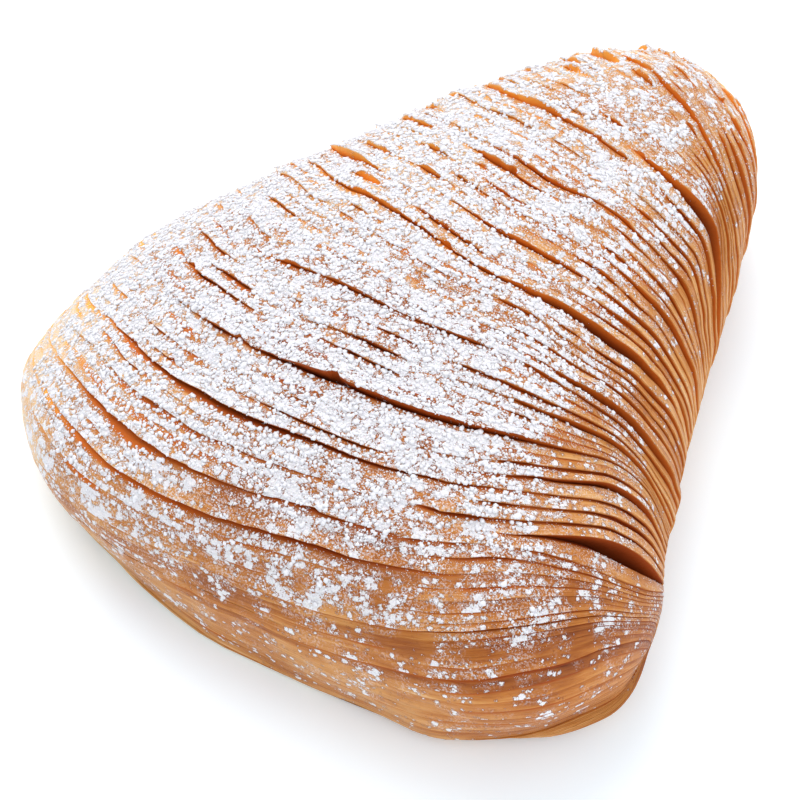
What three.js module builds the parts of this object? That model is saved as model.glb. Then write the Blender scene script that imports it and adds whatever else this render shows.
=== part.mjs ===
import * as THREE from 'three';

// Sfogliatella riccia: a clam-shaped pastry of many thin crisp layers. Millimetres, +Z up.
// It lies on its flat underside, with the closed mouth towards -Y and the blunt tip towards +Y.
// Each layer is a ring round the body. Its free edge, the lip, faces the mouth and stands proud
// of the layer before it, and its other end slips under the next lip on the way to the tip.

// The body's outer form, ring by ring from the mouth's seam to the blunt tip.
// A ring passes through its left, right and top point, and through its lowest point or, where it
// has none, the point midway between left and right at the height `under`. The part of a ring
// below the table is pressed flat.
const RINGS = [
  { left: [-30, 9.6, 4], right: [50, 18.4, 9], top: [14, -1.8, 1.6], lowest: [14, -1.8, 1.6] },
  { left: [-49.8, 16.9, 9], right: [51, 23.1, 10.5], top: [12, -4, 19], lowest: [11, 7, -1] },
  { left: [-52.3, 29.7, 12], right: [49.8, 28.5, 12.5], top: [9, 2, 30.8], under: -3 },
  { left: [-47, 50, 13], right: [47, 34.9, 13], top: [4, 20, 38.9], under: -3 },
  { left: [-33.2, 69.3, 13], right: [42.7, 46.5, 13], top: [3, 44, 41], under: -3 },
  { left: [-20.5, 89.7, 13], right: [36.7, 66.3, 13], top: [6, 72, 38.5], under: -3 },
  { left: [-8, 105.6, 13], right: [30.8, 88.6, 13], top: [12.5, 96, 33], under: -2 },
  { left: [2.5, 113, 13], right: [26, 100.6, 14], top: [15, 109, 24.8], under: 3 },
  { left: [9, 117, 13], right: [17, 116, 13], top: [13, 117, 13], under: 13 },
];
const TOP_ROUNDNESS = 2.2; // exponents of the rings' rounded arches, 2 being an ellipse
const UNDER_ROUNDNESS = 2.3;
const WRAP_STARTS = 0.12; // beside the seam's right end the rings wrap steeply round it, and
const WRAP_ENDS = 0.3; // by this share of the body they no longer do

// Where the body swells sideways: the place, how far round it, and how far it is pushed.
const SWELLINGS = [
  { place: [28, 2, 2], reach: 7, push: [1, -1.6] },
  { place: [51, 17, 5], reach: 6, push: [1.2, -1.4] },
  { place: [-15, 5, 2], reach: 9, push: [-0.9, 1.6] },
  { place: [2, 2, 2], reach: 8, push: [-0.6, 1] },
  { place: [-33, 10, 4], reach: 10, push: [-0.3, -1.8] },
];

// Layers and their relief.
const LAYERS = 32;
const COLUMNS = 54; // points round each ring, an even number
const LIP_HEIGHT = 0.85; // of a lip above the body's form, where the layers are widest
const FOOT_DEPTH = 0.75; // of the groove under a lip
const FOOT_STEP = 0.14; // from the groove to the lip, as a share of one layer's width
const BACK_STEP = 0.45; // from the lip to the middle of the layer
const BACK_HEIGHT = 0.25;
const FIRST_LIP = 0.6; // the first lip's distance from the seam, in layer widths
const FLAT_ZONE = 5; // the relief dies out over this height above the table

// The layers slip towards the tip on their way over the right shoulder. Turns are in degrees
// round the ring, 0 being right and 90 the top, and a slip is a share of the top's length.
const SLIP_STARTS = 135;
const SHOULDER = 38; // where the slip is largest
const SLIP_ENDS = -14;
const SLIP = 0.07;
const EXTRA_SLIP_AT_MOUTH = 0.045;

// A lip wanders along its ring by a few waves: how many, how far in layer widths, where they
// start, and how much they move on from one layer to the next, in radians. Reach times step stays
// under a third of a layer in all, so that no two lips cross.
const WAVES = [
  { count: 2, reach: 0.5, start: 0.4, step: 0.24 },
  { count: 5, reach: 0.3, start: 2.1, step: 0.4 },
  { count: 9, reach: 0.12, start: 4.0, step: 0.6 },
];
const CALM_ENDS = 0.12; // share of the body at the seam and at the tip where the wander dies out

// Where the layers stand apart: which layer, at what turn in degrees, how far the gap reaches to
// each side of it, and how much deeper than a plain groove it is.
const GAPS = [
  { layer: 24, turn: 30, reach: 22, depth: 4.5 },
  { layer: 17, turn: 45, reach: 30, depth: 3 },
  { layer: 10, turn: 75, reach: 25, depth: 1.6 },
  { layer: 8, turn: 28, reach: 20, depth: 4 },
  { layer: 7, turn: 110, reach: 30, depth: 1.2 },
  { layer: 27, turn: 60, reach: 30, depth: 1 },
];

const CRUST = { color: 0xcf9350, roughness: 0.55, metalness: 0 };

const radians = THREE.MathUtils.degToRad;

// A soft step from 0 to 1 as x goes from one value to the other, in either direction.
function smooth(from, to, x) {
  const share = THREE.MathUtils.clamp((x - from) / (to - from), 0, 1);
  return share * share * (3 - 2 * share);
}

// One curve through a named point of every ring.
function rail(pointOf) {
  const points = RINGS.map((ring) => new THREE.Vector3(...pointOf(ring)));
  return new THREE.CatmullRomCurve3(points, false, 'catmullrom', 0.5);
}

const leftRail = rail((ring) => ring.left);
const rightRail = rail((ring) => ring.right);
const topRail = rail((ring) => ring.top);
const underRail = rail((ring) => {
  const [x, y] = [0, 1].map((axis) => (ring.left[axis] + ring.right[axis]) / 2);
  return ring.lowest ?? [x, y, ring.under];
});
topRail.arcLengthDivisions = 1000;

// A point of the smooth body: `turn` runs round the ring in radians, 0 being right and a quarter
// turn the top, and `along` is the share of the top rail's length from the mouth to the tip.
function bodyPoint(turn, along) {
  const place = topRail.getUtoTmapping(THREE.MathUtils.clamp(along, 0, 1));
  const left = leftRail.getPoint(place);
  const right = rightRail.getPoint(place);
  const centre = left.clone().add(right).multiplyScalar(0.5);
  const upper = Math.sin(turn) >= 0;
  const arch = (upper ? topRail : underRail).getPoint(place).sub(centre);
  const side = right.sub(centre);
  const power = 2 / (upper ? TOP_ROUNDNESS : UNDER_ROUNDNESS);
  const across = Math.sign(Math.cos(turn)) * Math.abs(Math.cos(turn)) ** power;
  const height = Math.abs(Math.sin(turn)) ** power;
  const wrapped = smooth(WRAP_ENDS, WRAP_STARTS, along) * smooth(-0.3, 0.5, Math.cos(turn));
  const forward = THREE.MathUtils.lerp(height, 1 - Math.cos(turn) ** 4, wrapped);
  arch.multiply(new THREE.Vector3(forward, forward, height));
  return centre.addScaledVector(side, across).add(arch);
}

function swollen(point) {
  const total = new THREE.Vector3();
  for (const { place, reach, push } of SWELLINGS) {
    const away = point.clone().sub(new THREE.Vector3(...place));
    away.z *= 0.6;
    total.addScaledVector(new THREE.Vector3(...push, 0), Math.exp(-((away.length() / reach) ** 2)));
  }
  return point.add(total);
}

// How far the layers slip towards the tip at this turn, as a share of the top rail.
function slip(turn, along) {
  const degrees = THREE.MathUtils.euclideanModulo(THREE.MathUtils.radToDeg(turn) + 180, 360) - 180;
  const edge = degrees > SHOULDER ? SLIP_STARTS : SLIP_ENDS;
  const amount = SLIP + EXTRA_SLIP_AT_MOUTH * smooth(0.5, 0.25, along);
  return amount * smooth(edge, SHOULDER, degrees) * smooth(0, 0.1, along) * smooth(0.9, 0.7, along);
}

// A point of the body on the layers' own rings, which slip.
function layerPoint(turn, along) {
  return bodyPoint(turn, along + slip(turn, along));
}

// The direction straight out of the body.
function normalAt(turn, along) {
  const step = 0.002;
  const round = layerPoint(turn + step, along).sub(layerPoint(turn - step, along));
  const ahead = layerPoint(turn, Math.min(along + step, 1));
  const behind = layerPoint(turn, Math.max(along - step, 0));
  return ahead.sub(behind).cross(round).normalize();
}

function widthOfLayer(turn, along) {
  const half = 0.5 / LAYERS;
  return layerPoint(turn, along - half).distanceTo(layerPoint(turn, along + half));
}

function wander(layer, turn) {
  const shifts = WAVES.map(({ count, reach, start, step }) => {
    return reach * Math.sin(count * turn + start + step * layer);
  });
  return shifts.reduce((total, shift) => total + shift, 0) / LAYERS;
}

// How much deeper the groove under this layer's lip is where the layers stand apart.
function gapDepth(layer, turn) {
  const depths = GAPS.filter((gap) => gap.layer === layer).map((gap) => {
    const away = turn - radians(gap.turn);
    const nearest = Math.atan2(Math.sin(away), Math.cos(away));
    return gap.depth * Math.exp(-((nearest / radians(gap.reach)) ** 2));
  });
  return depths.reduce((total, depth) => total + depth, 0);
}

// The rows of points that make one layer: the groove before its lip, the lip, and its back.
function layerRows(layer) {
  const steps = [
    { ahead: -FOOT_STEP, rise: -FOOT_DEPTH, gap: 1 },
    { ahead: 0, rise: LIP_HEIGHT, gap: 0 },
    { ahead: BACK_STEP, rise: BACK_HEIGHT, gap: 0 },
  ];
  const lip = (layer + FIRST_LIP) / LAYERS;
  const freedom = smooth(0, CALM_ENDS, lip) * smooth(1, 1 - CALM_ENDS, lip);
  const widest = topRail.getLength() / LAYERS;
  return steps.map((step) => (turn) => {
    const along = lip + step.ahead / LAYERS + freedom * wander(layer, turn);
    const fullness = Math.min(widthOfLayer(turn, along) / widest, 1);
    const point = layerPoint(turn, along);
    const rise = (step.rise - step.gap * gapDepth(layer, turn)) * fullness;
    point.addScaledVector(normalAt(turn, along), rise * smooth(0, FLAT_ZONE, point.z));
    swollen(point);
    point.z = Math.max(point.z, 0);
    return point;
  });
}

function pastryGeometry() {
  const positions = [];
  const triangles = [];
  const columns = Array.from({ length: COLUMNS }, (_, column) => column);
  const turnOf = (column) => (2 * Math.PI * column) / COLUMNS;

  function addPoint(point) {
    positions.push(point.x, point.y, point.z);
    return positions.length / 3 - 1;
  }

  // Beside the seam two corners can be the same point, and such a face is left out.
  function addFace(...corners) {
    if (new Set(corners).size === 3) triangles.push(...corners);
  }

  // The seam's points serve the ring's upper and lower half alike, so the mouth is zipped shut.
  const seamColumns = columns.slice(0, COLUMNS / 2 + 1);
  const seam = seamColumns.map((column) => addPoint(swollen(bodyPoint(turnOf(column), 0))));
  let before = columns.map((column) => seam[Math.min(column, COLUMNS - column)]);
  for (let layer = 0; layer < LAYERS; layer += 1) {
    for (const rowPoint of layerRows(layer)) {
      const ring = columns.map((column) => addPoint(rowPoint(turnOf(column))));
      for (const column of columns) {
        const next = (column + 1) % COLUMNS;
        addFace(before[column], ring[column], ring[next]);
        addFace(before[column], ring[next], before[next]);
      }
      before = ring;
    }
  }
  const tip = addPoint(new THREE.Vector3(...RINGS.at(-1).top));
  for (const column of columns) addFace(before[column], tip, before[(column + 1) % COLUMNS]);

  const geometry = new THREE.BufferGeometry();
  geometry.setAttribute('position', new THREE.Float32BufferAttribute(positions, 3));
  geometry.setIndex(triangles);
  geometry.computeBoundingBox();
  const middle = geometry.boundingBox.getCenter(new THREE.Vector3());
  geometry.translate(-middle.x, -middle.y, -geometry.boundingBox.min.z);
  geometry.computeVertexNormals();
  return geometry;
}

const pastry = new THREE.Mesh(pastryGeometry(), new THREE.MeshStandardMaterial(CRUST));
pastry.name = 'pastry';

const group = new THREE.Group();
group.add(pastry);

export default group;
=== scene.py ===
import math
import bpy
import numpy as np
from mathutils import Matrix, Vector
from mathutils.bvhtree import BVHTree


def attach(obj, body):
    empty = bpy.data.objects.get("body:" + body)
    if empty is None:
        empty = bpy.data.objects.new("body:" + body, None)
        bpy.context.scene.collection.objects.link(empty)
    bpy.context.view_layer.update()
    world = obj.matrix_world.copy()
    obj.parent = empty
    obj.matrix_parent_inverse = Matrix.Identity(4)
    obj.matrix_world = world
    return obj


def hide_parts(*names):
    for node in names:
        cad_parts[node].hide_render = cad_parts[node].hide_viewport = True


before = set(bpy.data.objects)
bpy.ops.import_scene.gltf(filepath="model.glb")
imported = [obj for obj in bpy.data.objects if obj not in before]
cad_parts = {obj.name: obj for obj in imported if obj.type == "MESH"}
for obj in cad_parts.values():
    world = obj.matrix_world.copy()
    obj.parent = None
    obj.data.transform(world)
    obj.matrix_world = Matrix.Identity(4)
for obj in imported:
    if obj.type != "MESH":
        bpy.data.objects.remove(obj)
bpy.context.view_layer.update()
mm = 0.001

# A sfogliatella riccia: one baked body of thin crisp layers, dusted with icing sugar.
# Lengths are in millimetres in the body's drawing frame. A turn runs round the body in degrees,
# 0 being its right side and 90 its top, and along runs from the closed mouth, 0, to the tip, 1.


def smooth(start, end, x):
    share = np.clip((x - start) / (end - start), 0, 1)
    return share * share * (3 - 2 * share)


def hill(x, centre, reach):
    return np.exp(-((x - centre) / reach) ** 2)


def makeNoise(seed):
    # soft random values, about 0 to 1, on a repeating lattice of 24 cells a side
    lattice = np.random.default_rng(seed).random((24, 24, 24))

    def sample(x, y, z=0.0):
        q = np.stack(np.broadcast_arrays(x, y, z), -1).astype(float)
        cell = np.floor(q).astype(int)
        f = q - cell
        f = f * f * (3 - 2 * f)
        total = 0
        for corner in range(8):
            step = np.array([corner & 1, corner >> 1 & 1, corner >> 2 & 1])
            i, j, k = np.moveaxis((cell + step) % 24, -1, 0)
            total = total + np.where(step, f, 1 - f).prod(-1) * lattice[i, j, k]
        return total
    return sample


# the body's smooth form, through a few rings
rings = {
    "left": [(-30, 9.6, 4), (-49.8, 16.9, 9), (-52.3, 29.7, 12), (-47, 50, 13), (-33.2, 69.3, 13),
             (-20.5, 89.7, 13), (-8, 105.6, 13), (2.5, 113, 13), (9, 117, 13)],
    "right": [(50, 18.4, 9), (51, 23.1, 10.5), (49.8, 28.5, 12.5), (47, 34.9, 13), (42.7, 46.5, 13),
              (36.7, 66.3, 13), (30.8, 88.6, 13), (26, 100.6, 14), (17, 116, 13)],
    "top": [(14, -1.8, 1.6), (12, -4, 19), (9, 2, 30.8), (4, 20, 38.9), (3, 44, 41),
            (6, 72, 38.5), (12.5, 96, 33), (15, 109, 24.8), (13, 117, 13)],
    "underHeight": [2.5, -1, -3, -3, -3, -3, -2, 3, 13],
    "chin": (11, 7),          # x and y of the second ring's lowest point
    "topRoundness": 2.2,      # 2 would be an ellipse
    "underRoundness": 2.3,
    "wrapStarts": 0.12,
    "wrapEnds": 0.3,
}
slips = {"starts": 135, "shoulder": 38, "ends": -14, "amount": 0.07, "extraAtMouth": 0.045}
# local swerves of the layers: at which turn and along, how far they reach, and how far they shift
swerves = [
    {"turn": 10, "reach": 28, "along": 0.27, "spread": 0.078, "shift": 0.068},
    {"turn": 77, "reach": 32, "along": 0.19, "spread": 0.15, "shift": -0.037},
    {"turn": 33, "reach": 40, "along": 0.81, "spread": 0.09, "shift": -0.026},
    {"turn": 4, "reach": 30, "along": 0.52, "spread": 0.19, "shift": 0.046},
]


def rail(points, place):
    points = np.array(points, float)
    ends = np.vstack([2 * points[0] - points[1], points, 2 * points[-1] - points[-2]])
    x = np.clip(place, 0, 1) * (len(points) - 1)
    i = np.minimum(x.astype(int), len(points) - 2)
    f = (x - i)[..., None]
    before, start, end, after = (ends[i + n] for n in range(4))
    leave, arrive = (end - before) / 2, (after - start) / 2
    return ((2 * f**3 - 3 * f**2 + 1) * start + (f**3 - 2 * f**2 + f) * leave
            + (3 * f**2 - 2 * f**3) * end + (f**3 - f**2) * arrive)


def wayAlong(points):
    # how far it is along the points to each of them
    return np.concatenate([[0], np.cumsum(np.linalg.norm(np.diff(points, axis=0), axis=1))])


middle = (np.array(rings["left"], float) + np.array(rings["right"], float)) / 2
under = np.column_stack([middle[:, :2], rings["underHeight"]])
under[0] = rings["top"][0]
under[1, :2] = rings["chin"]
evenPlaces = np.linspace(0, 1, 2001)
topWay = wayAlong(rail(rings["top"], evenPlaces))
topLength = topWay[-1]


def bodyPoint(turn, along):
    turn, along = np.broadcast_arrays(np.radians(turn), along)
    place = np.interp(along, topWay / topLength, evenPlaces)
    left, right = rail(rings["left"], place), rail(rings["right"], place)
    centre = (left + right) / 2
    upper = np.sin(turn) >= 0
    arch = np.where(upper[..., None], rail(rings["top"], place), rail(under, place)) - centre
    power = 2 / np.where(upper, rings["topRoundness"], rings["underRoundness"])
    across = np.sign(np.cos(turn)) * np.abs(np.cos(turn)) ** power
    height = np.abs(np.sin(turn)) ** power
    # beside the seam's right end the rings wrap steeply round it before they lean forward
    wrapped = smooth(rings["wrapEnds"], rings["wrapStarts"], along) * smooth(-0.3, 0.5, np.cos(turn))
    forward = height + (1 - np.cos(turn) ** 4 - height) * wrapped
    reach = np.stack([forward, forward, height], -1)
    return centre + across[..., None] * (right - centre) + reach * arch


def slip(turn, along):
    # how far the layers slip towards the tip on their way over the right shoulder
    turn = (turn + 180) % 360 - 180
    edge = np.where(turn > slips["shoulder"], slips["starts"], slips["ends"])
    amount = slips["amount"] + slips["extraAtMouth"] * smooth(0.5, 0.25, along)
    shift = amount * smooth(edge, slips["shoulder"], turn) * smooth(0, 0.1, along) * smooth(0.9, 0.7, along)
    for swerve in swerves:
        shift = shift + (swerve["shift"] * hill(turn, swerve["turn"], swerve["reach"])
                         * hill(along, swerve["along"], swerve["spread"]))
    return shift


def layerPoint(turn, along):
    return bodyPoint(turn, along + slip(turn, along))


def layerNormal(turn, along):
    nudge = 0.002
    degrees = math.degrees(nudge)
    way = layerPoint(turn + degrees, along) - layerPoint(turn - degrees, along)
    ahead = layerPoint(turn, np.minimum(along + nudge, 1)) - layerPoint(turn, np.maximum(along - nudge, 0))
    normal = np.cross(ahead, way)
    return normal / np.maximum(np.linalg.norm(normal, axis=-1, keepdims=True), 1e-9)


# the layers
crust = {
    "layers": 78,
    "crowding": 0.75,          # how much closer the layers lie near the mouth
    "arcColumns": 188,         # over the top, from the right side to the left
    "wallColumns": 50,         # of these, how far the side walls reach at either end underneath
    "evenRing": 0.42,          # the along at which the columns are evenly spread
    "firstLip": 0.6,           # the first lip's distance from the mouth's seam, in layer widths
    "lipThickness": 0.3,       # in mm
    "overhang": 0.12,          # how far a lip reaches past its own foot, in layer widths
    # in half layer widths: how high a lip rises where the layers are pressed together, how much
    # more where they stand apart, how far the floor drops there, and how unevenly layers are stacked
    "pressedRise": 0.16,
    "openRise": 0.4,
    "openDepth": 0.7,
    "stacked": 0.1,
    "flatZone": 4.0,           # height above the table over which the relief dies out
    "wander": [(0.9, 7.0, 34), (0.32, 2.2, 16), (0.07, 0.7, 5)],  # reach and size in layers, turn
    "ragged": 0.1,             # of the lips' edges, in layer widths
    "chipped": 0.25,           # how far a chip goes back from the edge, in layer widths
    "bulge": (0.45, 0.95),     # least and most of a layer's height behind its lip, in lip heights
    "lump": [(1.1, 26), (0.4, 9), (0.14, 3.2)],    # height and size of the body's unevenness
    "crumpledFoot": 2.4,       # height of the crumples low down at the left
    "sharpAngle": 52,          # edges that bend more than this look sharp
    "flowPerDegree": 0.8,      # how wide a degree counts in the crust's fine lines, in mm
}
# how far before the next lip a sheet ends, in layer widths
setBack = {"plain": 0.03, "open": 0.05, "deep": 0.06, "grooved": 0.14, "banded": 0.2, "most": 0.4}
# how much shade is painted under a lip, on its face and at the end of the sheet before it
paintedShade = {
    "under": {"shown": 0.6, "fine": 0.3, "drawn": 0.75, "open": 0.3, "deep": 0.25},
    "face": {"shown": 0.5, "fine": 0, "drawn": 0.6, "open": 0.15, "deep": 0.1},
    "end": {"shown": 0.2, "fine": 0.2, "drawn": 0.3, "open": 0.1, "deep": 0.05},
}
# where layers stand apart: the lip's along, the turn, the reach in degrees, depth and lift in mm,
# and how far the neighbours part, in layer widths
gaps = [
    {"along": 0.706, "turn": 34, "reach": 34, "depth": 3.6, "lift": 0.6, "part": 1.0},
    {"along": 0.690, "turn": 108, "reach": 26, "depth": 1.1, "lift": 0.3, "part": 0.25},
    {"along": 0.812, "turn": 80, "reach": 44, "depth": 1.2, "lift": 0.4, "part": 0.3},
    {"along": 0.760, "turn": 30, "reach": 26, "depth": 1.2, "lift": 0.3, "part": 0.4},
    {"along": 0.621, "turn": 85, "reach": 14, "depth": 1.0, "lift": 0.3, "part": 0.3},
    {"along": 0.602, "turn": 95, "reach": 12, "depth": 0.8, "lift": 0.2, "part": 0.2},
    {"along": 0.534, "turn": 78, "reach": 17, "depth": 1.3, "lift": 0.3, "part": 0.4},
    {"along": 0.498, "turn": 46, "reach": 34, "depth": 3.2, "lift": 0.5, "part": 0.8},
    {"along": 0.500, "turn": 108, "reach": 24, "depth": 1.0, "lift": 0.3, "part": 0.4},
    {"along": 0.516, "turn": 136, "reach": 17, "depth": 1.3, "lift": 0.4, "part": 0.3},
    {"along": 0.332, "turn": 128, "reach": 14, "depth": 0.8, "lift": 0.3, "part": 0.3},
    {"along": 0.304, "turn": 82, "reach": 30, "depth": 1.7, "lift": 0.4, "part": 0.4},
    {"along": 0.252, "turn": 106, "reach": 38, "depth": 1.3, "lift": 0.4, "part": 0.3},
    {"along": 0.204, "turn": 126, "reach": 32, "depth": 1.0, "lift": 0.3, "part": 0.4},
    {"along": 0.174, "turn": 112, "reach": 36, "depth": 1.0, "lift": 0.3, "part": 0.4},
    {"along": 0.214, "turn": 27, "reach": 23, "depth": 3.8, "lift": 0.8, "part": 1.6},
    {"along": 0.273, "turn": 30, "reach": 26, "depth": 1.6, "lift": 0.4, "part": 0.4},
    {"along": 0.350, "turn": 30, "reach": 26, "depth": 1.2, "lift": 0.3, "part": 0.4},
    {"along": 0.414, "turn": 30, "reach": 26, "depth": 1.6, "lift": 0.4, "part": 0.4},
    {"along": 0.561, "turn": 26, "reach": 28, "depth": 1.2, "lift": 0.3, "part": 0.4},
    {"along": 0.119, "turn": 95, "reach": 70, "depth": 0.9, "lift": 0.3, "part": 0.3},
    {"along": 0.081, "turn": 85, "reach": 70, "depth": 0.6, "lift": 0.2, "part": 0.2},
]


def lipAlong(index):
    # layers lie closest near the mouth, and spread out behind it
    even = np.linspace(0, 1, 501)
    pace = 1 / (1 + crust["crowding"] * smooth(0.3, 0.12, even))
    way = np.concatenate([[0], np.cumsum((pace[1:] + pace[:-1]) / 2)])
    place = (index + crust["firstLip"]) / (crust["layers"] + crust["firstLip"])
    return np.interp(place, even, way / way[-1])


# where the body swells sideways: the place, how far round it, and how far it is pushed
lobes = [
    {"place": (28, 2, 2), "reach": 7, "push": (1.0, -1.6, 0)},
    {"place": (51, 17, 5), "reach": 6, "push": (1.2, -1.4, 0)},
    {"place": (-15, 5, 2), "reach": 9, "push": (-0.9, 1.6, 0)},
    {"place": (2, 2, 2), "reach": 8, "push": (-0.6, 1.0, 0)},
    {"place": (-33, 10, 4), "reach": 10, "push": (-0.3, -1.8, 0)},
]


def columnTurns():
    # even steps over the top, every second one again down the walls, and few across the base
    fine = np.linspace(0, 180, 721)
    ringWay = wayAlong(bodyPoint(fine, crust["evenRing"]))
    last, wall = crust["arcColumns"], crust["wallColumns"]
    over = np.interp(np.linspace(0, ringWay[-1], last + 1), ringWay, fine)
    below = [j for j in range(last - 2, 0, -2) if j <= wall or j >= last - wall or j % 8 == 0]
    owner = np.zeros(last + 1, int)     # the column below that each one above closes with
    for j in range(last + 1):
        owner[j] = min([0, last] + below, key=lambda b: abs(b - j))
    return np.concatenate([over, 360 - over[below]]), owner


def signed(turns):
    # turns from -90 to 270, so that the jump lies underneath
    return (turns + 90) % 360 - 90


def onShoulder(turn):
    return smooth(75, 35, turn) * smooth(-60, -10, turn)


def around(turns, cellTurn, offset):
    # a circle to read noise from, so that it has no seam; one noise cell is cellTurn degrees
    radius = 57.3 / cellTurn
    return np.cos(np.radians(turns)) * radius + offset, np.sin(np.radians(turns)) * radius + offset


# the noise behind each feature of the lips: its seed, its cell in degrees, and its place and pace
patterns = {
    "lens": (21, 10, 9, 1.37),
    "ripple": (22, 13, 40, 0.9),
    "plain": (23, 25, 60, 1.7),
    "pressed": (24, 9, 20, 1.3),
    "band": (25, 13, 30, 1.9),
}


def pattern(name, turns, index):
    seed, cellTurn, offset, pace = patterns[name]
    return makeNoise(seed)(*around(turns, cellTurn, offset), index * pace)


def layerFields(turns):
    # for every lip and column: its along, how open its gap is, the gap's depth and lift,
    # how plainly the lip shows, and how much of a groove and a dark band, bare of sugar and with painted
    # shade, runs before it
    count = crust["layers"]
    index = np.arange(count + 1)[:, None]
    turn = signed(turns)
    shift = np.zeros((count + 1, len(turns)))
    shoulder = onShoulder(turn)
    for n, (reach, layerSize, turnSize) in enumerate(crust["wander"]):
        waves = makeNoise(11 + n)(*around(turns, turnSize, 9), index / layerSize) - 0.5
        shift += 2 * reach * waves * (1 - 0.7 * shoulder * (n > 0))
    along = lipAlong(index)
    pitch = lipAlong(index + 0.5) - lipAlong(index - 0.5)
    shift *= smooth(0, 0.1, along) * smooth(1, 0.9, along)

    depth = np.zeros_like(shift)
    lift = np.zeros_like(shift)
    for gap in gaps:
        lip = int(np.argmin(np.abs(along - gap["along"])))
        wide = hill((turn - gap["turn"] + 180) % 360 - 180, 0, gap["reach"])
        wide = np.maximum(wide * 1.15 - 0.15, 0)
        depth[lip] += gap["depth"] * wide
        lift[lip] += gap["lift"] * wide
        shift -= gap["part"] * wide * (index < lip) * np.exp((index - lip + 1) / 3.5)
    lips = np.clip(along + shift * pitch, 0, 1)
    lips[-1] = 1

    # lens-shaped openings, a few along each lip; finer, steadier ridges on the shoulder and front
    often = np.random.default_rng(5).uniform(0.42, 0.72, (count + 1, 1))
    lens = smooth(often, often + 0.22, pattern("lens", turns, index))
    lens = lens * (0.25 + 0.75 * smooth(0.1, 0.22, along))
    lens = lens * (0.3 + 0.7 * smooth(155, 112, turn)) * (1 - 0.8 * shoulder)
    steady = 0.5 * smooth(66, 30, turn) * smooth(-70, -20, turn) * smooth(0.06, 0.2, along)
    steady = steady + 0.25 * smooth(0.17, 0.1, along)
    steady = steady + 0.22 * smooth(128, 150, turn) * smooth(0.02, 0.1, along)
    ripple = pattern("ripple", turns, index)
    bold = 0.15 + 1.3 * np.random.default_rng(6).uniform(0, 1, (count + 1, 1)) ** 1.5
    opening = np.clip(np.maximum(lens, steady * bold * (0.6 + 0.8 * ripple)), 0, 1.3)
    groove = shoulder * smooth(0.14, 0.26, along) * np.clip(bold * (0.4 + 1.0 * ripple), 0.2, 1.2)

    # how plainly a lip shows: broad calm sheets in front and at the left, with a few lines between
    calmest = smooth(0.26, 0.12, along) * (0.55 + 0.45 * smooth(80, 140, turn)) * smooth(10, 40, turn)
    show = 1 - 0.95 * calmest * smooth(0.75, 0.45, pattern("plain", turns, index))
    pressed = pattern("pressed", turns, index)
    pressed = pressed - 0.1 * smooth(85, 110, turn) * smooth(0.26, 0.34, along) * smooth(0.62, 0.54, along)
    show = show * (1 - 0.85 * smooth(50, 80, turn) * smooth(0.62, 0.42, pressed))
    band = smooth(0.4, 0.7, pattern("band", turns, index))
    band = band * (0.3 + 0.7 * smooth(95, 130, turn) * smooth(0.42, 0.3, along)) * smooth(20, 60, turn)
    return lips, opening * show, depth, lift, show, groove, band


def swellings(points):
    total = np.zeros_like(points)
    for lobe in lobes:
        away = np.linalg.norm((points - lobe["place"]) * (1, 1, 0.6), axis=-1)
        total += hill(away, 0, lobe["reach"])[..., None] * np.array(lobe["push"])
    return total


def lump(points):
    total = 0
    for n, (height, size) in enumerate(crust["lump"]):
        x, y, z = np.moveaxis(points / size + 5, -1, 0)
        total = total + height * 2 * (makeNoise(31 + n)(x, y, z) - 0.5)
    return total


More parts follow.
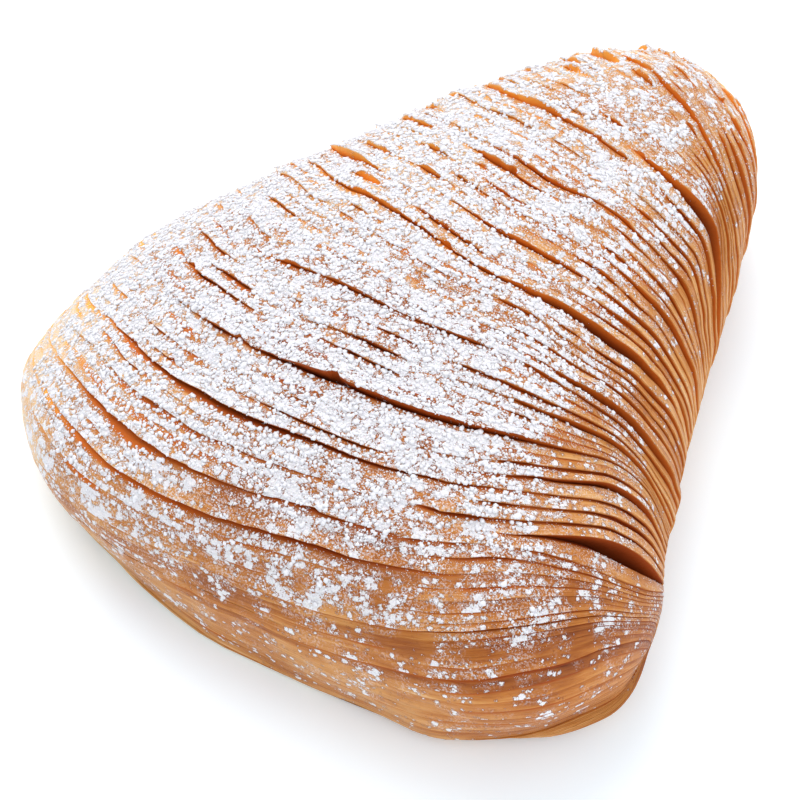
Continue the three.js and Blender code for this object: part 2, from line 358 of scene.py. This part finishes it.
def crustGrid():
    turns, owner = columnTurns()
    count = crust["layers"]
    lips, opening, depth, lift, show, groove, band = layerFields(turns)
    rng = np.random.default_rng(8)
    side = signed(turns)
    shoulder = onShoulder(side)
    lipPoints = layerPoint(turns[None, :], lips)
    width = np.linalg.norm(np.diff(lipPoints, axis=0), axis=2)
    width = np.vstack([width, width[-1:]])
    room = np.minimum(width / 2.0, 1.2)
    calm = smooth(0.3, crust["flatZone"], lipPoints[..., 2]) * smooth(0, 0.02, lips)

    lip = np.arange(count + 1)[:, None]
    edgeWear = makeNoise(41)(np.arange(len(turns)) / 3.2, lip * 3.1)
    edgeWear = 0.5 + (edgeWear - 0.5) * (0.2 + 0.3 * smooth(40, 80, side))
    chips = smooth(0.78, 0.9, makeNoise(42)(np.arange(len(turns)) / 4.0, lip * 2.3))
    chips = chips * smooth(0.15, 0.25, lips) * smooth(55, 85, turns) * smooth(150, 130, turns)
    rise = (crust["pressedRise"] * show + crust["openRise"] * opening) * room + lift * np.minimum(width, 1)
    low, far = smooth(0.45, 0.3, lips), smooth(0.4, 0.5, lips)
    rise = rise * (1 - 0.5 * smooth(125, 155, side) * low + 1.1 * smooth(90, 125, side) * far)
    rise = rise * (0.75 + 0.5 * edgeWear) * (1 - 0.4 * chips)
    fall = crust["openDepth"] * opening * room + depth
    step = rng.normal(0, crust["stacked"], (count + 1, 1)) * room * show
    bulge = rng.uniform(*crust["bulge"], (count + 1, 1))
    ragged = crust["ragged"] * (2 * edgeWear - 1) + crust["chipped"] * chips
    drawn = smooth(0.04, 0.22, rise + fall)      # how plainly the step at a lip is seen

    alongs, heights, shades, edges = [], [], [], []

    # a row of the grid: its along, its height, the shade painted on it, and the painted highlight that a
    # lip's edge gets
    def addRow(along, height, shade, edge):
        alongs.append(along)
        heights.append(height)
        shades.append(np.broadcast_to(shade, len(turns)))
        edges.append(np.broadcast_to(edge, len(turns)))

    # painted shade at a lip's underside, its face or a sheet's end: more where the lip shows plainly,
    # stands open and is deep
    def hollow(part, k, fine):
        dark = paintedShade[part]
        shown = np.maximum(dark["shown"] * show[k] + dark["fine"] * fine, dark["drawn"] * drawn[k])
        return shown + dark["open"] * opening[k] + dark["deep"] * depth[k]

    # the mouth's seam, with a little painted shade
    addRow(np.zeros(len(turns)), np.zeros(len(turns)), 0.35, 0.0)
    for k in range(count):
        span = lips[k + 1] - lips[k]
        drop = setBack["plain"] + setBack["open"] * opening[k + 1] + setBack["deep"] * depth[k + 1]
        drop = drop + setBack["grooved"] * groove[k + 1] + setBack["banded"] * band[k + 1]
        drop = np.clip(drop, 0, setBack["most"]) * calm[k + 1] + 0.05
        end = lips[k + 1] - drop * span
        under = lips[k] + ((crust["overhang"] + 0.02) * calm[k] - 0.02) * span
        front = lips[k] + ragged[k] * calm[k] * span
        thick = np.minimum(crust["lipThickness"], 0.3 * width[k] + 0.02) * (0.3 + 0.7 * show[k])
        sag = depth[k + 1]
        fine = smooth(1.3, 0.5, width[k]) * smooth(0, 0.3, width[k])
        floorHeight = step[k - 1] - fall[k] - 0.36 * groove[k] * room[k]
        addRow(under, floorHeight * calm[k], hollow("under", k, fine), 0.0)
        addRow(front, (step[k] + rise[k] - thick) * calm[k], hollow("face", k, fine), 0.3)
        addRow(front + 0.05 * span, (step[k] + rise[k]) * calm[k], 0.1, show[k])
        back = lips[k] + (0.5 + 0.3 * shoulder) * (end - lips[k])
        addRow(back, (step[k] + rise[k] * bulge[k] - 0.05 * sag) * calm[k], 0.1, 0.1)
        dip = 0.2 * sag + 0.4 * groove[k + 1] * room[k]
        endShade = 0.12 + hollow("end", k + 1, fine) + 0.12 * groove[k + 1] + 0.25 * band[k + 1]
        addRow(end, (step[k] + rise[k] * 0.3 - dip) * calm[k], endShade, 0.0)
    along = np.array(alongs)
    height = np.array(heights)
    points = layerPoint(turns[None, :], along)
    normals = layerNormal(turns[None, :], along)
    uneven = lump(points) * smooth(0, 2, points[..., 2]) * smooth(0, 0.06, along)
    crumple = makeNoise(43)(*np.moveaxis(points / 3.2, -1, 0)) - 0.5
    foot = hill(points[..., 2], 5, 4) * smooth(120, 150, side)
    foot = foot * smooth(0.04, 0.1, along) * smooth(0.45, 0.3, along)
    uneven = uneven + crust["crumpledFoot"] * crumple * foot
    points = points + normals * (height + uneven)[..., None] + swellings(points)
    points[..., 2] = np.maximum(points[..., 2], 0)

    # the two halves close along the mouth, and all columns at the tip
    points[0, :crust["arcColumns"] + 1] = points[0, owner]
    points[-1] = points[-1].mean(0)
    return turns, along, points, np.array(shades), np.array(edges)


turns, along, points, shade, edge = crustGrid()
low, high = points.reshape(-1, 3).min(0), points.reshape(-1, 3).max(0)
toFrame = np.array([-(low[0] + high[0]) / 2, -(low[1] + high[1]) / 2, 0])
signedTurn = signed(turns) + 0 * along     # 0 right, 90 top, 180 left
print("layers shaped")

# camera, at 30 degrees to the right of the mouth and 53 degrees up, with its aim in the body's frame
view = {"azimuth": 30, "elevation": 53, "distance": 600, "frameWidth": 117.6, "aim": (-0.55, 41.89, 12.05)}


def addCamera():
    a, e = math.radians(view["azimuth"]), math.radians(view["elevation"])
    back = Vector((math.sin(a) * math.cos(e), -math.cos(a) * math.cos(e), math.sin(e)))
    data = bpy.data.cameras.new("camera")
    data.lens = data.sensor_width * view["distance"] / view["frameWidth"]
    camera = bpy.data.objects.new("camera", data)
    bpy.context.scene.collection.objects.link(camera)
    camera.location = (Vector(view["aim"]) + Vector(toFrame) + back * view["distance"]) * mm
    camera.rotation_euler = back.to_track_quat("Z", "Y").to_euler()
    bpy.context.scene.camera = camera


addCamera()
print("camera set")


# how the sugar lies: its edges in turns, how far they draw back at the mouth, how wide they fade,
# and its thicker drifts
sugarLie = {
    "rightEdge": 6,
    "leftEdge": 198,
    "rightDrawnBack": 24,
    "leftDrawnBack": 30,
    "rightFade": 64,
    "leftFade": 34,
    "least": 0.06,
    "lostOnCap": 0.2,
    "lostOnRight": 0.1,
    "drifts": [
        {"turn": 138, "reach": 38, "along": 0.34, "spread": 0.22, "more": 0.8},
        {"turn": 74, "reach": 29, "along": 0.33, "spread": 0.13, "more": 0.42},
        {"turn": 112, "reach": 36, "along": 0.62, "spread": 0.15, "more": 0.26},
    ],
    "coverCounts": 0.4,
    "clumpsCount": 0.4,
}


def sugarCover():
    # full over the top and its left, thin on the shoulder and the cap, patches in front
    lie = sugarLie
    right = lie["rightEdge"] - lie["rightDrawnBack"] * smooth(0.25, 0.12, along)
    left = lie["leftEdge"] - lie["leftDrawnBack"] * smooth(0.18, 0.06, along)
    over = smooth(right, right + lie["rightFade"], signedTurn)
    over = over * smooth(left, left - lie["leftFade"], signedTurn)
    front = 0.2 * smooth(0.005, 0.03, along) + 0.4 * smooth(0.05, 0.14, along)
    front = front + 0.4 * smooth(0.15, 0.32, along)
    cap = 1 - lie["lostOnCap"] * smooth(0.7, 0.85, along)
    thick = lie["least"]
    for drift in lie["drifts"]:
        thick = thick + (drift["more"] * hill(signedTurn, drift["turn"], drift["reach"])
                         * hill(along, drift["along"], drift["spread"]))
    thick = thick - lie["lostOnRight"] * smooth(0.4, 0.56, along) * smooth(110, 70, signedTurn)
    return over * (front * cap + thick)


def sugarAmount(cover, clinging):
    return sugarLie["coverCounts"] * cover + sugarLie["clumpsCount"] * (clinging - 0.5)


def patchiness(places):
    # 0 to 1: where sugar clings and clumps together, at points in metres
    x, y, z = np.moveaxis(places / mm, -1, 0)
    wide = makeNoise(51)(x / 7, y / 7, z / 7)
    middle = makeNoise(52)(x / 2.4, y / 2.4, z / 2.4)
    small = makeNoise(53)(x / 1.1, y / 1.1, z / 1.1)
    return (0.3 * wide + 0.4 * middle + 0.3 * small - 0.5) * 2.2 + 0.5


# how much each place adds to the browning, or takes from it, with painted light and shade mixed in: the
# pale places are partly painted light, and the front and the right corner partly painted shade
bakeAndLightWeights = {"even": 0.35, "front": 0.13, "corner": 0.42, "rightSide": 0.2, "middle": 0.5, "pale": 0.45}


def bakeAndLightMap():
    # the browning, with painted light and shade mixed in: palest at the lower left and on the far cap, and
    # lighter on the upper left, partly painted light; darkest in front and at mid height, the front partly
    # painted shade
    front = smooth(0.16, 0.08, along) * smooth(185, 120, signedTurn)
    corner = smooth(0.32, 0.16, along) * smooth(75, 35, signedTurn) * smooth(-45, -10, signedTurn)
    rightSide = smooth(70, 30, signedTurn) * smooth(0.15, 0.3, along)
    brown = hill(signedTurn, 85, 35) * hill(along, 0.27, 0.16)
    pale = smooth(135, 165, signedTurn) + 0.5 * smooth(0.86, 0.97, along)
    pale = pale + 0.6 * smooth(85, 125, signedTurn) * smooth(0.35, 0.5, along)
    pale = pale + 0.25 * smooth(20, -10, signedTurn) * smooth(0.25, 0.45, along)
    bake = bakeAndLightWeights["even"] + bakeAndLightWeights["front"] * front + bakeAndLightWeights["corner"] * corner
    bake = bake + bakeAndLightWeights["rightSide"] * rightSide + bakeAndLightWeights["middle"] * brown - bakeAndLightWeights["pale"] * pale
    return np.clip(bake, -0.15, 1)


cover = sugarCover()
clinging = patchiness((points + toFrame) * mm)
sugar = np.where(cover > 0, sugarAmount(cover, clinging), -1)      # above 0.3 it shows white
bake = bakeAndLightMap()


def newMesh(name, vertices, faces):
    sides = faces.shape[1]
    mesh = bpy.data.meshes.new(name)
    mesh.vertices.add(len(vertices))
    mesh.vertices.foreach_set("co", np.ascontiguousarray(vertices, np.float32).ravel())
    mesh.loops.add(len(faces) * sides)
    mesh.loops.foreach_set("vertex_index", np.ascontiguousarray(faces, np.int32).ravel())
    mesh.polygons.add(len(faces))
    mesh.polygons.foreach_set("loop_start", np.arange(len(faces), dtype=np.int32) * sides)
    mesh.update(calc_edges=True)
    piece = bpy.data.objects.new(name, mesh)
    bpy.context.scene.collection.objects.link(piece)
    return piece


def deselectAll():
    for one in bpy.context.selected_objects:
        one.select_set(False)


def pick(piece):
    deselectAll()
    bpy.context.view_layer.objects.active = piece
    piece.select_set(True)


def editWhole(piece, *steps):
    # runs edit mode operators on the whole of one piece
    pick(piece)
    bpy.ops.object.mode_set(mode="EDIT")
    for step in steps:
        bpy.ops.mesh.select_all(action="SELECT")
        step()
    bpy.ops.object.mode_set(mode="OBJECT")


def addValues(piece, name, values, kind="FLOAT"):
    channel = "vector" if kind == "FLOAT_VECTOR" else "value"
    attribute = piece.data.attributes.new(name, kind, "POINT")
    attribute.data.foreach_set(channel, np.ascontiguousarray(values, np.float32).ravel())


rowCount, columnCount = along.shape
gridRow, gridColumn = np.meshgrid(np.arange(rowCount - 1), np.arange(columnCount), indexing="ij")
nextColumn = (gridColumn + 1) % columnCount
gridFaces = np.stack([gridRow * columnCount + gridColumn, gridRow * columnCount + nextColumn,
                      (gridRow + 1) * columnCount + nextColumn, (gridRow + 1) * columnCount + gridColumn],
                     -1).reshape(-1, 4)
surface = (points + toFrame).reshape(-1, 3) * mm


def makeCrust():
    piece = newMesh("pastryLayers", surface, gridFaces)
    tint = np.random.default_rng(9).random(crust["layers"])
    tint = tint[np.clip((np.arange(rowCount) - 1) // 5, 0, None)][:, None] + 0 * along
    # shade is painted shade in the hollows, edge is a painted highlight on the lips' edges, and the
    # browning carries painted light and shade as well
    fields = {"shade": shade, "edge": edge, "sugar": sugar, "bake": bake, "tint": tint}
    for name, values in fields.items():
        addValues(piece, name, values)
    flow = np.stack([signedTurn * crust["flowPerDegree"], along * topLength, 0 * along], -1)
    addValues(piece, "flow", flow, "FLOAT_VECTOR")
    editWhole(piece,
              lambda: bpy.ops.mesh.remove_doubles(threshold=1e-6),
              lambda: bpy.ops.mesh.fill_holes(sides=0),
              lambda: bpy.ops.mesh.normals_make_consistent(inside=False))
    pick(piece)
    bpy.ops.object.shade_smooth_by_angle(angle=math.radians(crust["sharpAngle"]))
    return piece


pastry = makeCrust()
print("crust made:", len(pastry.data.polygons), "faces")


# sifted sugar: the radius is in mm, and each kind lies where there is at least so much sugar
sugarKinds = [
    {"name": "sugarLumps", "shape": "ball", "count": 8600, "radius": (0.22, 0.42), "least": 0.43},
    {"name": "sugarClumps", "shape": "ball", "count": 9800, "radius": (0.13, 0.24), "least": 0.4},
    {"name": "sugarGrains", "shape": "gem", "count": 24500, "radius": (0.09, 0.16), "least": 0.3},
    {"name": "sugarDust", "shape": "chip", "count": 49500, "radius": (0.06, 0.11), "least": 0.12},
]
# of every grain, in its own sizes: how uneven it is, how far it is flattened, and how high it lies
grainForm = {"uneven": 0.35, "flattened": 0.4, "raised": 0.25, "gemSize": 1.12, "chipHeight": 1.2}


def shapeOf(kind):
    if kind == "gem":
        corners = np.vstack([np.eye(3), -np.eye(3)]) * grainForm["gemSize"]
        upper = [(0, 1, 2), (1, 3, 2), (3, 4, 2), (4, 0, 2)]
        return corners, np.array(upper + [(b, a, 5) for a, b, _ in upper])
    deselectAll()
    if kind == "ball":
        bpy.ops.mesh.primitive_ico_sphere_add(subdivisions=1, radius=1)
    else:
        bpy.ops.mesh.primitive_cone_add(vertices=3, radius1=1, depth=grainForm["chipHeight"])
    model = bpy.context.object
    corners = np.array([tuple(v.co) for v in model.data.vertices])
    faces = []
    for polygon in model.data.polygons:
        v = list(polygon.vertices)
        faces += [(v[0], v[n], v[n + 1]) for n in range(1, len(v) - 1)]
    bpy.data.objects.remove(model)
    return corners, np.array(faces)


def sift(bvh, wanted, least, rng):
    # drops sugar straight down and keeps what lands where it clings
    low, high = surface.min(0), surface.max(0)
    fallsFrom = 0.1             # height in metres
    blur = 0.06                 # how gradually the sugar thins out
    places, normals = [], []
    found = 0
    while found < wanted:
        drops = rng.uniform(low[:2], high[:2], (wanted, 2))
        hits = [bvh.ray_cast(Vector((x, y, fallsFrom)), Vector((0, 0, -1))) for x, y in drops]
        hits = [h for h in hits if h[0] is not None]
        place = np.array([tuple(h[0]) for h in hits])
        normal = np.array([tuple(h[1]) for h in hits])
        normal *= np.sign(normal[:, 2:])
        quad = np.array([h[2] for h in hits])
        amount = sugarAmount(cover[:-1].ravel()[quad], patchiness(place))
        hollow = np.maximum(shade[:-1].ravel()[quad], shade[1:].ravel()[quad])
        amount = amount * smooth(0.1, 0.5, normal[:, 2])
        chance = smooth(least - blur, least + blur, amount) * smooth(0.95, 0.66, hollow)
        kept = rng.random(len(place)) < chance
        places.append(place[kept])
        normals.append(normal[kept])
        found += kept.sum()
    return np.concatenate(places)[:wanted], np.concatenate(normals)[:wanted]


def makeSugar(kind, bvh, seed):
    rng = np.random.default_rng(seed)
    corners, faces = shapeOf(kind["shape"])
    count = kind["count"]
    place, normal = sift(bvh, count, kind["least"], rng)
    size = rng.uniform(*kind["radius"], count) * rng.uniform(0.75, 1.15, count) * mm
    turn = np.linalg.qr(rng.normal(size=(count, 3, 3)))[0]
    turn *= np.sign(np.linalg.det(turn))[:, None, None]
    uneven = grainForm["uneven"]
    form = corners[None] * (1 + rng.uniform(-uneven, uneven, (count, len(corners), 1)))
    form = np.einsum("nij,nkj->nki", turn, form) * size[:, None, None]
    across = (form * normal[:, None]).sum(-1, keepdims=True)
    centre = place + normal * size[:, None] * grainForm["raised"]
    form = form - across * normal[:, None] * grainForm["flattened"] + centre[:, None]
    joined = faces[None] + np.arange(count)[:, None, None] * len(corners)
    return newMesh(kind["name"], form.reshape(-1, 3), joined.reshape(-1, 3))


crustTree = BVHTree.FromPolygons([tuple(v) for v in surface], gridFaces.tolist())
sugarPieces = [makeSugar(kind, crustTree, 60 + n) for n, kind in enumerate(sugarKinds)]
print("sugar sifted")


# finishes
def linear(red, green, blue):
    # a colour as seen on a screen, 0 to 255, turned into light
    return tuple((c / 255 / 12.92) if c < 10.3 else ((c / 255 + 0.055) / 1.055) ** 2.4
                 for c in (red, green, blue)) + (1,)


class Value:
    # an output socket of a finish; sums on it add Math nodes
    def __init__(self, finish, socket):
        self.finish = finish
        self.socket = socket

    def math(self, operation, *terms):
        return self.finish.add("ShaderNodeMath", {"operation": operation}, dict(enumerate(terms)))

    def __add__(self, other):
        return self.math("ADD", self, other)

    def __sub__(self, other):
        return self.math("SUBTRACT", self, other)

    def __rsub__(self, other):
        return self.math("SUBTRACT", other, self)

    def __mul__(self, other):
        return self.math("MULTIPLY", self, other)

    __radd__ = __add__
    __rmul__ = __mul__

    def step(self, start, end):
        # 0 below start, 1 above end, smooth between
        return self.finish.add("ShaderNodeMapRange", {"interpolation_type": "SMOOTHSTEP"},
                               {"Value": self, "From Min": start, "From Max": end})


class Finish:
    # a material whose nodes are added one by one
    def __init__(self, name, **constants):
        self.material = bpy.data.materials.new(name)
        self.material.use_nodes = True
        self.tree = self.material.node_tree
        self.shader = self.tree.nodes["Principled BSDF"]
        for socket, value in constants.items():
            self.shader.inputs[socket].default_value = value

    def add(self, kind, settings=None, sockets=None, output=0):
        node = self.tree.nodes.new(kind)
        for name, value in (settings or {}).items():
            if name == "stops":
                ramp = node.color_ramp
                while len(ramp.elements) < len(value):
                    ramp.elements.new(0.5)
                for element, (position, colour) in zip(ramp.elements, value):
                    element.position = position
                    element.color = colour
            else:
                setattr(node, name, value)
        for name, value in (sockets or {}).items():
            self.feed(node.inputs[name], value)
        return Value(self, node.outputs[output])

    def feed(self, socket, value):
        if isinstance(value, Value):
            self.tree.links.new(value.socket, socket)
        else:
            socket.default_value = value

    def drive(self, socket, value):
        self.feed(self.shader.inputs[socket], value)

    def objectPlace(self):
        return self.add("ShaderNodeTexCoord", output="Object")

    def attribute(self, name, output="Fac"):
        return self.add("ShaderNodeAttribute", {"attribute_name": name}, output=output)

    def stretch(self, vector, amounts):
        return self.add("ShaderNodeVectorMath", {"operation": "MULTIPLY"}, {0: vector, 1: amounts})

    def noise(self, vector, scale, detail, roughness=0.55):
        return self.add("ShaderNodeTexNoise", None,
                        {"Vector": vector, "Scale": scale, "Detail": detail, "Roughness": roughness})

    def ramp(self, value, stops):
        return self.add("ShaderNodeValToRGB", {"stops": stops}, {"Fac": value})

    def mix(self, amount, first, second):
        return self.add("ShaderNodeMix", {"data_type": "RGBA"}, {0: amount, 6: first, 7: second}, output=2)

    def bump(self, height, strength, distance, before=None):
        sockets = {"Height": height, "Strength": strength, "Distance": distance}
        if before:
            sockets["Normal"] = before
        return self.add("ShaderNodeBump", None, sockets)


# colours from dark to light, and in the gaps from little baked to much; the gap colours are partly painted
# shade, with painted light at their pale end where light shines through, and the deepest hollows and the
# crust round the sugar get painted shade
crustColours = {
    "browningAndLight": [(0.0, linear(104, 44, 10)), (0.25, linear(150, 79, 23)), (0.5, linear(184, 112, 46)),
              (0.75, linear(210, 149, 84)), (1.0, linear(231, 191, 142))],
    "inGaps": [(0, linear(250, 172, 70)), (0.35, linear(210, 108, 28)), (0.7, linear(158, 66, 12))],
    "deepestShade": linear(126, 50, 10),
    "shadeRoundSugar": linear(116, 48, 16),
    "powder": [linear(223, 220, 222), linear(243, 240, 241)],
}
sugarColours = [linear(222, 221, 225), linear(242, 240, 242)]


def crustFinish():
    f = Finish("bakedCrust", **{"Subsurface Weight": 0.08, "Subsurface Scale": 0.001,
                                "Subsurface Radius": (1, 0.45, 0.2), "Specular IOR Level": 0.2})
    place = f.objectPlace()
    flow = f.attribute("flow", "Vector")
    depth = f.attribute("shade")
    lipEdgeHighlight = f.attribute("edge")
    sugared = f.attribute("sugar")
    browningAndLight = f.attribute("bake")
    tint = f.attribute("tint")

    blotches = f.noise(place, 90, 4)
    threads = f.noise(f.stretch(flow, (0.16, 2.2, 1)), 1, 4, 0.6)      # fine lines along each layer
    fibres = f.noise(f.stretch(flow, (0.4, 7.0, 1)), 1, 3, 0.6)
    grain = f.noise(place, 1800, 3, 0.6)

    # the crust's tone, from its browning, which carries painted light, from its blotches and fine lines,
    # and from each layer's tint
    tone = 0.875 - browningAndLight * 0.66 + (blotches - 0.5) * 0.6 + (threads - 0.5) * 0.68 + (tint - 0.5) * 0.26
    # painted highlight: lighter on the lips' edges; painted shade: a little darker in the hollows
    tone = tone + lipEdgeHighlight * 0.22 - depth * 0.1
    # painted shade: the hollows turn to the gap colours, and the deepest ones to a darker brown, less where
    # the crust is pale and lit
    deep = depth.step(0.3, 0.7)
    darkest = depth.step(0.75, 1.4) * (0.35 + browningAndLight * 1.8).step(0, 1)
    colour = f.mix(deep, f.ramp(tone, crustColours["browningAndLight"]), f.ramp(browningAndLight, crustColours["inGaps"]))
    colour = f.mix(darkest, colour, crustColours["deepestShade"])

    # the finest sugar, too small to be grains: ragged clumps with fine specks of crust between
    speckle = f.noise(place, 4600, 3, 0.65)
    fineDots = f.noise(place, 3100, 2, 0.5)
    swirl = f.add("ShaderNodeTexNoise", None, {"Vector": place, "Scale": 1100, "Detail": 2}, output="Color")
    wobble = f.stretch(swirl, (0.0007,) * 3)
    wobbled = f.add("ShaderNodeVectorMath", {"operation": "ADD"}, {0: place, 1: wobble})
    cells = {"Vector": wobbled, "Scale": 980}
    clump = 0.42 - f.add("ShaderNodeTexVoronoi", None, cells)
    luck = f.add("ShaderNodeTexVoronoi", None, cells, output="Color") - 0.5
    wideCells = {"Vector": wobbled, "Scale": 400}
    heap = 0.45 - f.add("ShaderNodeTexVoronoi", None, wideCells)
    heapLuck = f.add("ShaderNodeTexVoronoi", None, wideCells, output="Color") - 0.5
    bare = depth.step(0.18, 0.5)
    # thick sugar, too, leaves specks of crust between its clumps
    packed = f.add("ShaderNodeMath", {"operation": "MINIMUM"}, {0: sugared, 1: 0.52})
    amount = packed + clump * 0.75 + luck * 0.35 + heap * 0.5 + heapLuck * 0.3 + (speckle - 0.5) * 0.8
    amount = amount - 0.02 - bare * 0.55
    powder = f.mix(speckle.step(0.35, 0.65), *crustColours["powder"])
    # painted shade: the crust just round the sugar's clumps is darkened, more where it is browner
    shadeRoundSugar = amount.step(0.06, 0.28) * (0.12 + browningAndLight * 0.7)
    colour = f.mix(shadeRoundSugar, colour, crustColours["shadeRoundSugar"])
    dots = fineDots.step(0.48, 0.62) * sugared.step(0.04, 0.38) * (1 - bare) * 0.55
    colour = f.mix(dots, colour, powder)
    dust = amount.step(0.26, 0.34)
    colour = f.mix(dust * 0.95, colour, powder)
    f.drive("Base Color", colour)
    f.drive("Roughness", 0.42 + (grain - 0.5) * 0.2 + deep * 0.2 + dust * 0.35)

    relief = f.bump(threads * 0.6 + fibres * 0.4, 0.6, 0.0005)
    relief = f.bump(grain, 0.25, 0.0001, relief)
    f.drive("Normal", f.bump(dust * (0.7 + clump + speckle * 0.4), 0.6, 0.00025, relief))
    return f.material


def sugarFinish():
    f = Finish("icingSugar")
    place = f.objectPlace()
    crumble = f.noise(place, 4200, 3, 0.6)
    f.drive("Base Color", f.mix(crumble, *sugarColours))
    f.drive("Roughness", 0.85 + (crumble - 0.5) * 0.2)
    f.drive("Normal", f.bump(crumble, 0.5, 0.00015))
    return f.material


pastry.data.materials.append(crustFinish())
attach(pastry, "root")
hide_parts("pastry")

icing = sugarFinish()
for piece in sugarPieces:
    piece.data.materials.append(icing)
    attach(piece, "root")
print("finishes made")

# floor and lights
bpy.ops.mesh.primitive_plane_add(size=3)
floor = bpy.context.object
floor.name = "floor"
paleFloor = Finish("paleFloor", **{"Base Color": (0.96, 0.985, 1, 1), "Roughness": 0.7,
                                   "Emission Color": (0.5, 0.85, 1, 1), "Emission Strength": 0.15})
floor.data.materials.append(paleFloor.material)

studio = {
    "sky": (0.9, 0.94, 1, 1),
    "skyStrength": 0.88,
    # name, place and size in metres, power in watts
    "lights": [("backWindow", (-0.5, 0.45, 0.75), 0.9, 8), ("rightFill", (0.8, -0.3, 0.6), 0.9, 3.5)],
}
world = bpy.data.worlds.new("softStudio")
bpy.context.scene.world = world
world.use_nodes = True
sky = world.node_tree.nodes["Background"]
sky.inputs["Color"].default_value = studio["sky"]
sky.inputs["Strength"].default_value = studio["skyStrength"]


def areaLight(name, place, size, power):
    data = bpy.data.lights.new(name, "AREA")
    data.size = size
    data.energy = power
    light = bpy.data.objects.new(name, data)
    bpy.context.scene.collection.objects.link(light)
    light.location = place
    light.rotation_euler = Vector(place).to_track_quat("Z", "Y").to_euler()


for light in studio["lights"]:
    areaLight(*light)
bpy.context.scene.view_settings.view_transform = "Standard"
